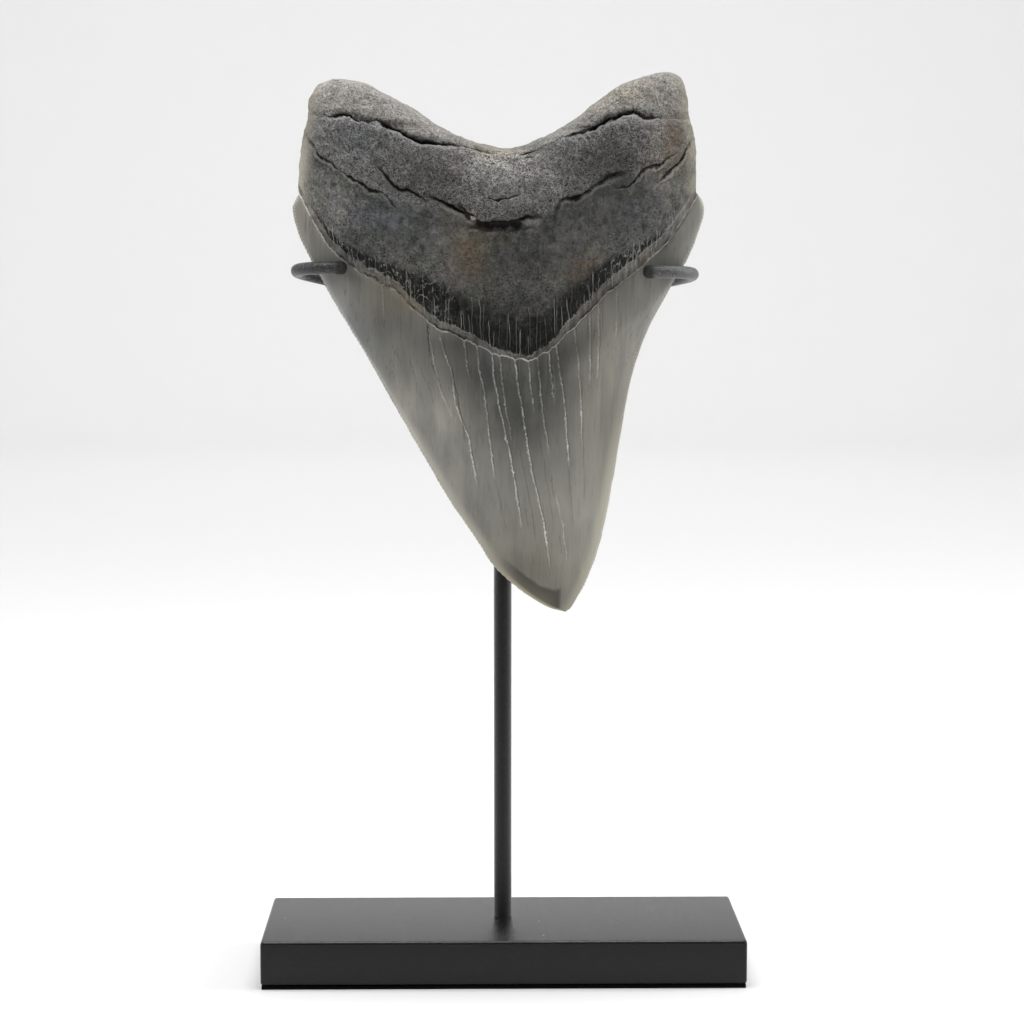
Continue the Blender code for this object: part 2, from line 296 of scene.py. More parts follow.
def through(points, at):  # smooth curve through (place, value) points, without overshoot
    places, values = np.array(sorted(points), float).T
    steps = np.diff(places)
    slopes = np.diff(values) / steps
    tangents = np.concatenate([slopes[:1], slopes[1:], slopes[-1:]])
    inner = np.zeros(len(slopes) - 1)
    sameWay = slopes[:-1] * slopes[1:] > 0
    inner[sameWay] = 2 / (1 / slopes[:-1][sameWay] + 1 / slopes[1:][sameWay])
    tangents[1:-1] = inner
    at = np.clip(at, places[0], places[-1])
    i = np.clip(np.searchsorted(places, at) - 1, 0, len(steps) - 1)
    t = (at - places[i]) / steps[i]
    return (values[i] * (2 * t**3 - 3 * t**2 + 1) + values[i + 1] * (3 * t**2 - 2 * t**3)
            + steps[i] * (tangents[i] * (t**3 - 2 * t**2 + t) + tangents[i + 1] * (t**3 - t**2)))


def lineHeight(line, s):
    left, right = line[0][0], line[-1][0]
    return through(line, left + (right - left) * (s + 1) / 2)


def crownHeight(line, level, s):
    done = np.clip(level - marginLevel, 0, 1)
    chord = np.interp(s, (-1, 1), (line[0][1], line[-1][1]))
    sag = chord - lineHeight(line, s)
    fade = (1 - done) ** toothProfiles["sagFade"]
    return chord + (toothEdges["tip"][1] - chord) * done - sag * fade


def frontHeight(level, s):
    heights = np.stack([lineHeight(line, s) for line in toothLines])
    above = np.clip(level.astype(int), 0, len(toothLines) - 2)
    each = np.arange(len(level))
    upper, lower = heights[above, each], heights[above + 1, each]
    rootPart = upper + (lower - upper) * (level - above)
    return np.where(level < marginLevel, rootPart, crownHeight(toothLines[-1], level, s))


def backHeight(level, s):
    share = through(toothProfiles["backShare"], level)
    flat = lineHeight(toothLines[0], s) * (1 - share) + lineHeight(backMargin, s) * share
    ends = 1 - abs(s) ** 6  # at the sides the back meets the front's row
    rootPart = flat * ends + frontHeight(level, s) * (1 - ends)
    return np.where(level < marginLevel, rootPart, crownHeight(backMargin, level, s))


def toothSkin(level, s, front):
    ends = [frontHeight(level, np.full_like(s, end)) for end in (-1, 1)]
    left, right = through(toothEdges["left"], ends[0]), through(toothEdges["right"], ends[1])
    x = left + (right - left) * (s + 1) / 2
    rootBulge = (1 - abs(s) ** toothProfiles["rootRound"]) ** 0.5
    bladeBulge = 1 - abs(s) ** toothProfiles["bladeRound"]
    share = through(toothProfiles["bladeShare"], level)
    bulge = rootBulge * (1 - share) + bladeBulge * share
    sideY, frontY, backY = (through(toothProfiles[name], level) for name in ("sideY", "frontY", "backY"))
    y = sideY + (np.where(front, frontY, backY) - sideY) * bulge
    z = np.where(front, frontHeight(level, s), backHeight(level, s))
    return np.stack([x, y, z], axis=1)


def rowLevels():
    levels = [0]
    for start, end, count in toothGrid["rows"]:
        levels += [start + (end - start) * (done + 1) / count for done in range(count)]
    return levels


def toothSheets():
    # Two flat grids, front at x -1 and back at x 1, each 1 wide and 1 high about its middle,
    # become one closed skin: columns run from crest to point, rows from side to side
    levels = rowLevels()
    rows = len(levels) - 1
    crown = 1 - 2 * np.searchsorted(levels, marginLevel) / rows
    bm = bmesh.new()
    finer = toothGrid["frontFiner"]
    for columns, middle in ((finer * toothGrid["columns"], -2), (toothGrid["columns"], 2)):
        bmesh.ops.create_grid(bm, x_segments=columns, y_segments=rows, size=1,
                              matrix=Matrix.Translation((middle, 0, 0)))
    rim = [e for e in bm.edges if e.is_boundary]
    sides = [e for e in rim if abs(e.verts[0].co.x - e.verts[1].co.x) < 1e-6
             and max(v.co.y for v in e.verts) < crown]
    top = [e for e in rim if min(v.co.y for v in e.verts) > 1 - 1e-6 and e.verts[0].co.x > 0]
    bmesh.ops.subdivide_edges(bm, edges=sides, cuts=toothGrid["edgeCuts"])
    bmesh.ops.subdivide_edges(bm, edges=top, cuts=finer - 1)
    mesh = bpy.data.meshes.new("toothSheets")
    bm.to_mesh(mesh)
    flat = getPoints(mesh)
    front = flat[:, 0] < 0
    u = flat[:, 0] - np.where(front, -2, 2)
    s = np.clip(toothGrid["spread"] * np.sin(pi / 2 * u) + (1 - toothGrid["spread"]) * u, -1, 1)
    level = np.interp((1 - flat[:, 1]) / 2 * rows, np.arange(rows + 1), levels)
    points = toothSkin(level, s, front)
    mesh.vertices.foreach_set("co", points.astype(np.float32).ravel())
    for name, values in (("level", level), ("across", s), ("front", front)):
        setValues(mesh, name, values)
    bm.clear()
    bm.from_mesh(mesh)
    bmesh.ops.remove_doubles(bm, verts=bm.verts, dist=0.002)
    bmesh.ops.triangulate(bm, faces=[f for f in bm.faces if len(f.verts) > 4])
    bmesh.ops.recalc_face_normals(bm, faces=bm.faces)
    bm.to_mesh(mesh)
    bm.free()
    mesh.shade_smooth()
    return mesh


# The tooth's surface: cracks, pits, bands and relief

fissures = (  # open cracks of the root: (x, height) points, half width, depth, then how proud
    # the upper side and the lower side stand
    (((-45, 226.1), (-41.8, 226.3), (-39.5, 226), (-36.6, 224.6), (-34.2, 224.4)), 0.3, 0.8, 0, 0.4),
    (((-34.8, 224.2), (-32.8, 225), (-27, 222.3), (-22.3, 219.5), (-15, 218.8), (-8.3, 218.1),
      (-2.5, 216.5)), 0.45, 1.2, 0, 0.7),
    (((14.9, 220.6), (20.5, 221.8), (25.6, 224.2), (33.3, 227.2), (36.3, 225.3),
      (40, 225.7)), 0.45, 1, 0, 0.6),
    (((-50.8, 221.2), (-47, 215.7), (-41, 211.3), (-34.7, 207.2), (-30.8, 206.3),
      (-27.2, 202)), 0.32, 0.9, 0.35, 0),
    (((-32, 213), (-28.7, 208.8), (-26.8, 207.1), (-24.4, 207.2), (-19.5, 204)), 0.32, 1, 0.35, 0),
    (((-19.3, 205.8), (-14, 203.3), (-10.6, 201.2), (-7, 198.4)), 0.4, 1.4, 0.45, 0),
    (((-11.7, 204), (-9.6, 201.5), (-4.3, 197.4)), 0.25, 0.7, 0, 0),
    (((-8.4, 199.3), (-4.8, 198.6), (0.1, 198.6), (3.8, 199.4), (5.6, 200.2),
      (9.8, 200.4)), 0.45, 1.3, 0.6, 0),
    (((13.1, 201.8), (14.8, 204.1), (20.3, 205.9), (26.3, 210.1), (31.2, 211.2)), 0.5, 1.4, 0.5, 0),
    (((25, 210.9), (31.2, 211.3)), 0.4, 0.7, 0, 0),
    (((28.4, 207.4), (32.1, 208.2), (36.6, 212.6), (40.1, 213.6), (44.6, 217)), 0.28, 0.8, 0.25, 0),
    (((39.4, 209), (45.7, 214.2), (47.4, 218.1), (48.7, 220.5)), 0.32, 0.8, 0.2, 0),
    (((-4.8, 204.9), (-1.7, 204.5), (1.3, 205)), 0.2, 0.35, 0, 0),
    (((-3.9, 204.9), (0.2, 204.7), (4.6, 206.1)), 0.18, 0.3, 0, 0),
    (((5.3, 215.1), (8.1, 215.5)), 0.18, 0.3, 0, 0),
    (((4, 216), (8.5, 217.2)), 0.2, 0.3, 0, 0),
)
backFissures = (
    (((-43, 216), (-37, 215), (-30, 217.5), (-24, 216.5), (-16, 214)), 0.22, 0.7, 0, 0.3),
    (((6, 208), (13, 210.5), (19, 210), (24, 212.5)), 0.24, 0.7, 0, 0.3),
    (((28, 221), (34, 222.5), (41, 221)), 0.2, 0.5, 0, 0),
)
dents = (  # x, height, half width, half height, depth: the pocket, the block beside it and small pits
    (-1.2, 198, 7.4, 1.5, 1.9), (7.6, 199, 2.4, 1.2, -0.6), (-43.4, 208.6, 1, 0.9, 0.8),
    (-27, 223.5, 7, 1.5, 0.65), (-35.2, 226.8, 1.9, 1.6, -0.8), (-7.6, 197.1, 1.7, 0.6, -0.5),
    (-3, 196.2, 2.1, 0.5, -0.5), (2.2, 196, 2.2, 0.5, -0.45), (6.6, 196.9, 1.6, 0.6, -0.5),
    (20.5, 222.6, 4.5, 1, 0.5), (-20.5, 193.5, 0.6, 0.6, 0.4), (8.5, 190.5, 0.8, 0.6, 0.4),
    (25.5, 199.5, 0.8, 0.6, 0.3), (-35, 230.5, 0.9, 0.7, 0.5), (29, 231.5, 1, 0.8, 0.5),
)
lightCracks = (  # of the enamel: (x, height) points from the margin down, then strength
    ((-19.2, 169.5), (-17.9, 162.9), (-16.6, 156.5), (-12.8, 147.5), 0.45),
    ((-16.4, 169.5), (-15.2, 165.2), (-13.4, 161), (-12.5, 152), (-9.2, 144), (-6.4, 128.1), 0.75),
    ((-10.2, 169.2), (-9.6, 163), (-8.7, 158.3), 0.85),
    ((-6.9, 167.5), (-6.3, 161), (-5.1, 156), (-3.8, 144.7), (-2.2, 131), 0.85),
    ((-3, 166), (-2.6, 160), (-1.4, 153), (2, 137.4), (5.2, 117), 0.85),
    ((-1.2, 165.5), (-0.6, 160), (0.4, 152), (2.4, 141), 0.55),
    ((2.9, 164.5), (3.4, 159), (5, 149.5), (7.2, 135.2), (10.4, 121.6), (12.9, 105.5), 0.95),
    ((6.3, 164), (6.8, 158), (7.9, 150), 0.7),
    ((8.6, 165.5), (9.3, 158), (10, 150.4), (11.9, 139), 0.85),
    ((11.5, 167), (12.2, 160), (13.1, 152), 0.9),
    ((13.5, 167.5), (14.4, 161), (15.7, 153.5), (17.4, 133), 0.85),
    ((18.2, 171.8), (19.4, 163), (20.2, 152.6), (20.6, 140), 0.7),
    ((22.3, 175.5), (22.4, 165), (22.5, 156), 0.6),
    ((24.4, 178.5), (24.7, 168), (24.4, 157), 0.55),
    ((29.4, 182), (29.3, 168), 0.35), ((13.9, 127.3), (15.8, 119), (16.8, 110), 0.3),
    ((-31.4, 183), (-30.9, 175), 0.5),
)
darkCracks = (
    ((-19.6, 172.2), (-19.3, 168), (-18.8, 164.2), 1), ((-18.6, 163), (-15.7, 155.5), 0.5),
    ((-13.3, 161), (-11, 149.4), (-9.7, 141.8), 0.9), ((9.5, 143), (12.2, 127), (13.8, 116), 0.35),
    ((16.3, 143), (17.8, 126.7), (18.8, 116), 0.35), ((20.8, 145.2), (21.5, 125), 0.35),
    ((4, 141), (7.5, 124), (9, 112), 0.35), ((-2, 132), (1.2, 117), 0.3), ((-22, 163), (-17, 150), 0.3),
    ((26, 160), (25.5, 140), 0.25), ((-27.8, 166.5), (-26.9, 163), (-26.3, 160.5), 0.35),
    ((-24.2, 164), (-22.8, 158.5), 0.4), ((-26.7, 174.5), (-26.3, 168.5), 0.3),
    ((-37.1, 184.5), (-36.8, 180.5), 0.35), ((-31.8, 174.5), (-30.4, 171), 0.3),
    ((12.6, 133), (13.2, 127), 0.5), ((16.8, 139), (17.3, 134), 0.5), ((9.2, 127), (9.8, 122), 0.45),
    ((14.9, 117), (15.3, 112.5), 0.5), ((5.9, 124), (6.5, 119.5), 0.4),
)
crackForm = {
    "widen": 1.05, "endShare": 0.45,  # how wide a crack still is where it ends
    "shoulder": 1.5, "shoulderDepth": 0.45,  # hollow on both sides of the cut
    "lipRise": 0.35, "lipReach": 2.5, "lipHeight": 1.6,
    "window": 2.4,  # how far from a crack it is drawn
}
hairCracks = {
    "seed": 5, "from": -44, "to": 44, "pitch": 1.35, "shortest": 1.5, "sides": 5, "middle": 6,
    "kink": 0.13, "halfWidth": (0.1, 0.14),
}
backLines = {"seed": 8, "from": -42, "to": 42, "pitch": 4.4, "jitter": 1.5, "bend": 0.25,
             "lightLength": (5, 24), "darkLength": (4, 12), "darkStart": (1, 7)}
tonesAndPaintedLight = (  # lighter and darker places of the front, partly the tooth's own tone and partly painted light and shade: x, height, half width, half height, share
    (0, 212, 13, 9, 0.6), (27, 217, 12, 7, -0.43), (-31, 172, 9, 12, -0.26), (22, 128, 8, 22, 0.16),
    (8, 120, 14, 16, 0.07), (5, 190.5, 8, 5, -0.26), (-34, 150, 6, 22, 0.05), (-24, 160, 3, 14, -0.1),
    (-44, 205, 3, 4, 0.15), (-50, 194, 6, 10, -0.04), (-25, 220, 22, 5, -0.13), (-14, 193, 7, 6, 0.3),
    (45, 190, 6, 12, -0.14), (30, 200, 12, 6, -0.16), (-40, 203, 4, 5, 0.22), (3, 218.5, 12, 3, -0.6),
    (30, 165, 8, 20, -0.06), (-12, 182, 14, 6, 0.1), (-46, 232, 9, 6, 0.16), (-52, 212, 3, 10, 0.45),
    (-24, 150, 4, 12, 0.2), (-30.5, 170, 2.6, 4.5, -0.1), (-27.3, 164, 2.2, 4, -0.12),
    (-25, 158.5, 1.6, 3.5, -0.1), (-40.5, 178, 3, 9, 0.12), (-34.5, 166, 2.6, 9, 0.1),
    (-31, 176.5, 4, 7, -0.07), (-48.5, 217, 3, 6, -0.12), (10, 105, 9, 5, -0.12),
    (14, 100.5, 2.5, 3, -0.16), (-43, 205, 4, 7, 0.44), (-49, 212, 3.5, 14, 0.19),
    (42, 214, 4, 8, 0.38), (-19, 213, 11, 6, -0.3), (-13, 207, 8, 4.5, -0.3), (-3, 202, 7, 4, -0.32),
    (7, 202.5, 5, 3.5, -0.34), (-26, 201.5, 6, 3, 0.26), (20, 218.5, 10, 2.5, 0.22),
    (21, 211.5, 9, 3.5, -0.17), (-37, 191, 5, 3, -0.3), (-42, 186, 5, 3, -0.25),
    (1, 180, 11, 4.5, -0.24), (29, 179, 9, 7, -0.22), (22, 169.5, 5, 5, -0.25), (-9, 161, 8, 7, -0.34),
    (13, 159, 6, 9, -0.34), (8, 149, 7, 7, -0.2), (-16.5, 147, 6, 6, 0.2), (-5, 134, 10, 6, 0.17),
    (-28, 166, 3, 5, 0.11), (4, 110, 6, 4.5, -0.2), (17, 109, 3, 6, 0.12), (-13, 168, 8, 3.5, -0.3),
    (17, 166, 4.5, 4, -0.26), (4, 158, 4, 7, -0.06), (19, 157, 4, 7, -0.16), (1, 147, 7, 5, -0.13),
    (-5, 154, 5, 5, -0.05), (-14, 152, 4, 4, 0.12), (-32, 168, 3, 5, 0.07), (30, 212, 4, 4, -0.08),
    (43, 187, 4, 4, -0.2), (-38, 228, 5, 3, 0.12), (24, 224, 8, 2.5, -0.08), (-14, 196.5, 10, 3, 0.13),
)
stains = ((-8.5, 190, 5, 6), (22, 185.5, 6, 5), (44, 221, 4, 7))  # rusty places
tints = (  # warmer and cooler places, in the same way
    (-30, 180, 7, 6, 0.9), (-40, 165, 7, 22, -0.8), (26, 150, 5, 22, 0.5), (8, 108, 14, 12, 0.7),
    (-4, 165, 5, 6, -0.3), (-30, 200, 10, 5, -0.9), (34, 200, 8, 6, -0.6), (-8, 196, 6, 8, 0.8),
    (-22, 178.5, 5, 2.5, 0.8), (-38, 220, 7, 4, -0.6), (30, 232, 10, 4, 0.8), (-2, 217, 8, 3, 1),
    (40, 216, 6, 6, 0.7),
)
toothSurface = {
    "rootLumps": 0.32, "rootKnobs": 0.18, "rootGrain": 0.12, "enamelWave": 0.05,  # heights of the relief
    "marginStep": 0.3,  # how proud the enamel's broken edge stands
    "marginWander": 0.45,
    "cuspDepth": 0.8, "cuspWidth": 0.8,  # the margin dips to a cusp where a crack starts
    "crackHalfWidth": (0.22, 0.24),  # at a crack's foot and at its top
    "serration": 0.38, "serrationPitch": 0.95,
    "stripMiddle": 1.3, "stripSides": (2.4, 3.3),  # grey strip between the dark band and the enamel
    "bandX": 4,  # where the band and the strip have their middle
    "bandSoftSides": 1.2, "bandSoftMiddle": 7,  # how slowly the dark band fades in
    "facetLine": ((-1, 111.4), (1, 110.6), (5.5, 107.1), (9.7, 103.9), (13.7, 102.6), (15.2, 103.3)),
    "facetEnd": 15, "facetCrease": 0.45, "facetFade": (-2, 6),
    "brightGrain": (-7.9, 199.6, 0.95, 0.75),  # a white grain caught in the pocket: x, height, half sizes
    "windowReach": 1.3,  # how far from a fine crack it is drawn
}


def nearLine(x, z, points):  # distance to a line, share of the way along it, height above it
    best, along = np.full(len(x), 1e6), np.zeros(len(x))
    lengths = [np.hypot(b[0] - a[0], b[1] - a[1]) for a, b in zip(points, points[1:])]
    walked = 0
    for a, b, length in zip(points, points[1:], lengths):
        dx, dz = b[0] - a[0], b[1] - a[1]
        t = np.clip(((x - a[0]) * dx + (z - a[1]) * dz) / length**2, 0, 1)
        away = np.hypot(x - a[0] - t * dx, z - a[1] - t * dz)
        closer = away < best
        best = np.where(closer, away, best)
        along = np.where(closer, (walked + t * length) / sum(lengths), along)
        walked += length
    ordered = sorted(points)
    above = z - np.interp(x, [p[0] for p in ordered], [p[1] for p in ordered])
    return best, along, above


def patch(x, z, placeX, placeZ, wide, high):  # 1 at a place, fading all round it
    return np.exp(-((x - placeX) / wide) ** 2 - ((z - placeZ) / high) ** 2)


def openCracks(cracks, x, z, swell):
    # How far out the surface goes at each point, and for drawing the nearest crack its distance in
    # half widths, below zero under the crack, and how much of it shows
    lift, nearest, show = np.zeros(len(x)), np.full(len(x), 9.0), np.zeros(len(x))
    for points, halfWidth, depth, proudAbove, proudBelow in cracks:
        away, along, above = nearLine(x, z, points)
        taper = np.sqrt(np.clip(np.sin(pi * np.clip(along, 0.01, 0.99)), 0, 1))
        ends, shoulder = crackForm["endShare"], crackForm["shoulder"]
        width = crackForm["widen"] * halfWidth * (ends + (1 - ends) * taper) * swell
        lift -= depth * taper * (np.exp(-(away / width) ** 2)
                                 + crackForm["shoulderDepth"] * np.exp(-(away / shoulder) ** 2))
        for proud, sign in ((proudAbove, 1), (proudBelow, -1)):
            beyond = np.where(sign * above > 0, away, 0)
            lip = step(beyond, 0, crackForm["lipRise"]) * np.exp(-beyond / crackForm["lipReach"])
            lift += crackForm["lipHeight"] * proud * taper * lip
        signed = np.where(above > 0, away, -away) / width
        closer = abs(signed) < abs(nearest)
        nearest = np.where(closer, signed, nearest)
        show = np.where(closer, taper * (1 - step(away, 1.2, crackForm["window"])), show)
    return lift, nearest, show


def fineCracks(cracks, x, z, kink, halfWidth):
    # Signed distance across to the nearest upright crack in its half widths, and how much of it shows
    nearest, show = np.full(len(x), 9.0), np.zeros(len(x))
    thin, thick = halfWidth
    for number, (*points, strength) in enumerate(cracks):
        points = sorted(points, key=lambda point: point[1])
        heights = [point[1] for point in points]
        wiggle = 0.06 * np.sin(z * 0.8 + number * 1.7) + 0.03 * np.sin(z * 2.3 + number * 2.9) + kink
        away = x - np.interp(z, heights, [point[0] for point in points]) - wiggle
        done = np.clip((z - heights[0]) / (heights[-1] - heights[0]), 0, 1)
        signed = away / (thin + (thick - thin) * done**2)
        inside = step(done, 0, 0.2) * (1 - step(z, heights[-1], heights[-1] + 1))
        patchy = 0.75 + 0.25 * np.sin(z * 1.1 + number * 2.1) * np.sin(z * 0.37 + number)
        window = 1 - step(abs(away), 0.6, toothSurface["windowReach"])
        closer = abs(signed) < abs(nearest)
        nearest = np.where(closer, signed, nearest)
        show = np.where(closer, strength * inside * patchy * window, show)
    return nearest, show


def bandHairs():  # upright hair cracks in the dark band, drawn in turn into two sets
    rng = np.random.default_rng(hairCracks["seed"])
    hairs = []
    for x in np.arange(hairCracks["from"], hairCracks["to"], hairCracks["pitch"]):
        x += rng.uniform(-0.6, 0.6)
        foot = float(through(toothLines[-1], x)) + 0.5 + rng.uniform(0, 1.5)
        middle = np.exp(-((x - 3) / 20) ** 2)
        reach = hairCracks["sides"] + hairCracks["middle"] * middle
        tall = hairCracks["shortest"] + reach * rng.uniform(0.2, 1)
        lean, kink = rng.uniform(-0.6, 0.4), hairCracks["kink"]
        points = [(x + lean * share + rng.uniform(-kink, kink), foot + tall * share)
                  for share in (0, 0.3, 0.55, 0.8, 1)]
        hairs.append((*points, rng.uniform(0.15, 1)))
    return hairs[::2], hairs[1::2]


def backCracks():  # upright cracks of the back, run towards the point: light in the enamel, dark over it
    rng = np.random.default_rng(backLines["seed"])
    light, dark = [], []
    tipX, tipZ = toothEdges["tip"]
    for x in np.arange(backLines["from"], backLines["to"], backLines["pitch"]):
        for cracks, length, start in ((light, backLines["lightLength"], (0, 0.3)),
                                      (dark, backLines["darkLength"], backLines["darkStart"])):
            foot = x + rng.uniform(-1, 1) * backLines["jitter"]
            top = float(through(backMargin, foot))
            lean = (tipX - foot) / (top - tipZ)
            run = rng.uniform(*length)
            top += rng.uniform(*start)
            bend = backLines["bend"]
            cracks.append((*((foot + lean * run * share + rng.uniform(-bend, bend), top - run * share)
                             for share in (0, 0.35, 0.7, 1)), rng.uniform(0.25, 0.8)))
    return light, dark


def finishTooth(mesh):
    points = getPoints(mesh)
    normals = getPoints(mesh, "normal")
    level, s = getValues(mesh, "level"), getValues(mesh, "across")
    front = getValues(mesh, "front") > 0.5
    x, z = points[:, 0], points[:, 2]
    sizes = toothSurface

    # where each region ends
    wander = sizes["marginWander"] * (roughNoise(points * (1, 1, 0.4), 4, 4)
                                      + 0.45 * roughNoise(points, 1.3, 2, 8.8))
    cusps = sum(crack[-1] * np.exp(-abs(x - crack[0][0]) / sizes["cuspWidth"]) for crack in lightCracks)
    frontMargin = through(toothLines[-1], x) + wander - sizes["cuspDepth"] * (cusps - 0.4)
    margin = np.where(front, frontMargin, through(backMargin, x) + 0.7 * wander)
    enamelDepth = margin - z
    crown = step(enamelDepth, -0.15, 0.15)
    root = 1 - step(enamelDepth, -2.5, 0)
    leftX, rightX = through(toothEdges["left"], z), through(toothEdges["right"], z)
    rim = np.minimum(x - leftX, rightX - x)

    # relief
    lift = root * (sizes["rootLumps"] * roughNoise(points, 8, 2)
                   + sizes["rootKnobs"] * roughNoise(points, 3, 2, 7.7)
                   + sizes["rootGrain"] * roughNoise(points, 1.3, 2, 11.3))
    lift += crown * sizes["enamelWave"] * roughNoise(points * (1, 1, 0.15), 2.6, 2, 5.1)
    jag = roughNoise(points, 1.6, 3, 3.7)
    bend = np.where(front, 1, 0.5)
    bentX = x + bend * (0.3 * jag + 0.15 * roughNoise(points, 0.8, 2, 1.9))
    bentZ = z + bend * (0.45 * roughNoise(points, 2.2, 3, 9.2) + 0.18 * roughNoise(points, 0.9, 2, 5.9))
    swell = np.clip(1 + 0.7 * roughNoise(points, 3, 2, 4.4), 0.4, 2)
    liftAhead, crackAhead, showAhead = openCracks(fissures, bentX, bentZ, swell)
    liftBehind, crackBehind, showBehind = openCracks(backFissures, bentX, bentZ, swell)
    lift += root * np.where(front, liftAhead, liftBehind)
    hollow = np.zeros(len(x))
    for dentX, dentZ, wide, high, depth in dents:
        reach = ((bentX - dentX) / wide) ** 2 + ((bentZ - dentZ) / high) ** 2
        hollow += depth * step(1 - reach, 0, 0.6)
    lift -= np.where(front, hollow, 0)
    kink = 0.08 * roughNoise(points * (0, 0, 1) + x[:, None] * (0.3, 0, 0), 1.5, 2, 6.1)
    widths = sizes["crackHalfWidth"]
    lightBehind, darkBehind = (fineCracks(cracks, x, z, kink, widths) for cracks in backCracks())
    lift += sizes["marginStep"] * crown * np.exp(-np.clip(enamelDepth, 0, None) / 4)
    lift *= step(rim + 3 * (level < marginLevel), 0, 1.2)

    # worn facet beside the point
    away, along, above = nearLine(x, z, sizes["facetLine"])
    facetDepth = np.minimum(np.where(above < 0, away, -away), sizes["facetEnd"] - x)
    lift += front * crown * sizes["facetCrease"] * np.where(
        facetDepth > 0, np.exp(-away / 1.6), np.exp(-away / 4)) * step(along, 0, 0.25)

    # serrations on the cutting edges
    edge = (abs(s) > 1 - 1e-6) & (level > marginLevel + 0.01)
    walked = 1.12 * z - 0.3 * x * np.sign(s)
    bead = sizes["serration"] * abs(np.sin(pi * walked / sizes["serrationPitch"])) * step(z, 99, 104)
    bead *= 0.75 + 0.5 * roughNoise(points, 2.5, 1, 2.2)
    moved = points + normals * (lift * np.where(edge, 0, 1))[:, None]
    moved[:, 0] += np.where(edge, np.sign(s) * bead, 0)
    mesh.vertices.foreach_set("co", (moved * mm).astype(np.float32).ravel())

    # masks and distances that the material reads
    middle = np.exp(-((x - sizes["bandX"]) / 16) ** 2)
    stripMiddle = 1 - step(abs(x - sizes["bandX"]), 3, 16)
    stripSides = np.interp(x, (-6, 14), sizes["stripSides"])
    stripWidth = stripSides + (sizes["stripMiddle"] - stripSides) * stripMiddle
    soft = sizes["bandSoftSides"] + sizes["bandSoftMiddle"] * middle
    nearBand = step(through(toothLines[3], x) + 9 - z, 0, 8)
    cloud = step(z, 122, 158) * np.exp(-((x - 0.14 * (165 - z) - 2) / 14) ** 2)
    values = {
        "enamelDepth": np.clip(enamelDepth, -8, 8),
        "bandDepth": np.where(front, np.clip((through(toothLines[3], x) - z) / soft, -3, 3), -3),
        "bandSides": step(abs(x - sizes["bandX"]), 12, 26),
        "stripDepth": np.clip(enamelDepth + stripWidth, -8, 8),
        "lowerBone": np.where(front, through(toothLines[2], x) - z, -2),
        "gritty": np.clip(0.25 + 0.6 * nearBand + 0.35 * step(abs(x), 27, 42), 0, 0.85),
        "brightGrain": front * patch(x, z, *sizes["brightGrain"]),
        "crest": np.where(front, 1 - step(level, 0.7, 1), 1 - step(level, 0.2, 0.8)),
        "fissure": np.where(front, crackAhead, crackBehind),
        "fissureShow": root * np.where(front, showAhead, showBehind),
        "hollow": np.where(front, np.clip(hollow, -1, 2), 0),
        "rim": np.clip(rim, 0, 12),
        "edgeWalk": walked / sizes["serrationPitch"],
        "facetDepth": np.where(front & (z < 118), np.clip(facetDepth, -4, 4), -4),
        "facetShow": step(x, *sizes["facetFade"]),
        "stain": front * np.max([patch(x, z, *place) for place in stains], axis=0),
        "cloud": np.where(front, cloud, 0.15),
    }
    hairWidths = hairCracks["halfWidth"]
    hairsA, hairsB = bandHairs()
    for name, cracks, halfWidth, region, behind in (
            ("lightA", lightCracks[::2], widths, crown, lightBehind),
            ("lightB", lightCracks[1::2], widths, crown, None),
            ("dark", darkCracks, widths, crown, darkBehind),
            ("hairA", hairsA, hairWidths, 1 - crown, None),
            ("hairB", hairsB, hairWidths, 1 - crown, None)):
        distance, shown = fineCracks(cracks, x, z, kink, halfWidth)
        shown = shown * region * front
        if behind:
            distance, shown = np.where(front, distance, behind[0]), np.where(front, shown, behind[1])
        values.update({name: distance, name + "Show": shown})
    for name, patches, behind in (("toneAndPaintedLight", tonesAndPaintedLight, 0.16), ("tint", tints, 0.7)):
        ahead = sum(share * patch(x, z, *place) for *place, share in patches)
        values[name] = np.where(front, ahead, behind * roughNoise(points, 13, 2, behind))
    for name, amounts in values.items():
        setValues(mesh, name, amounts)
    mesh.update()


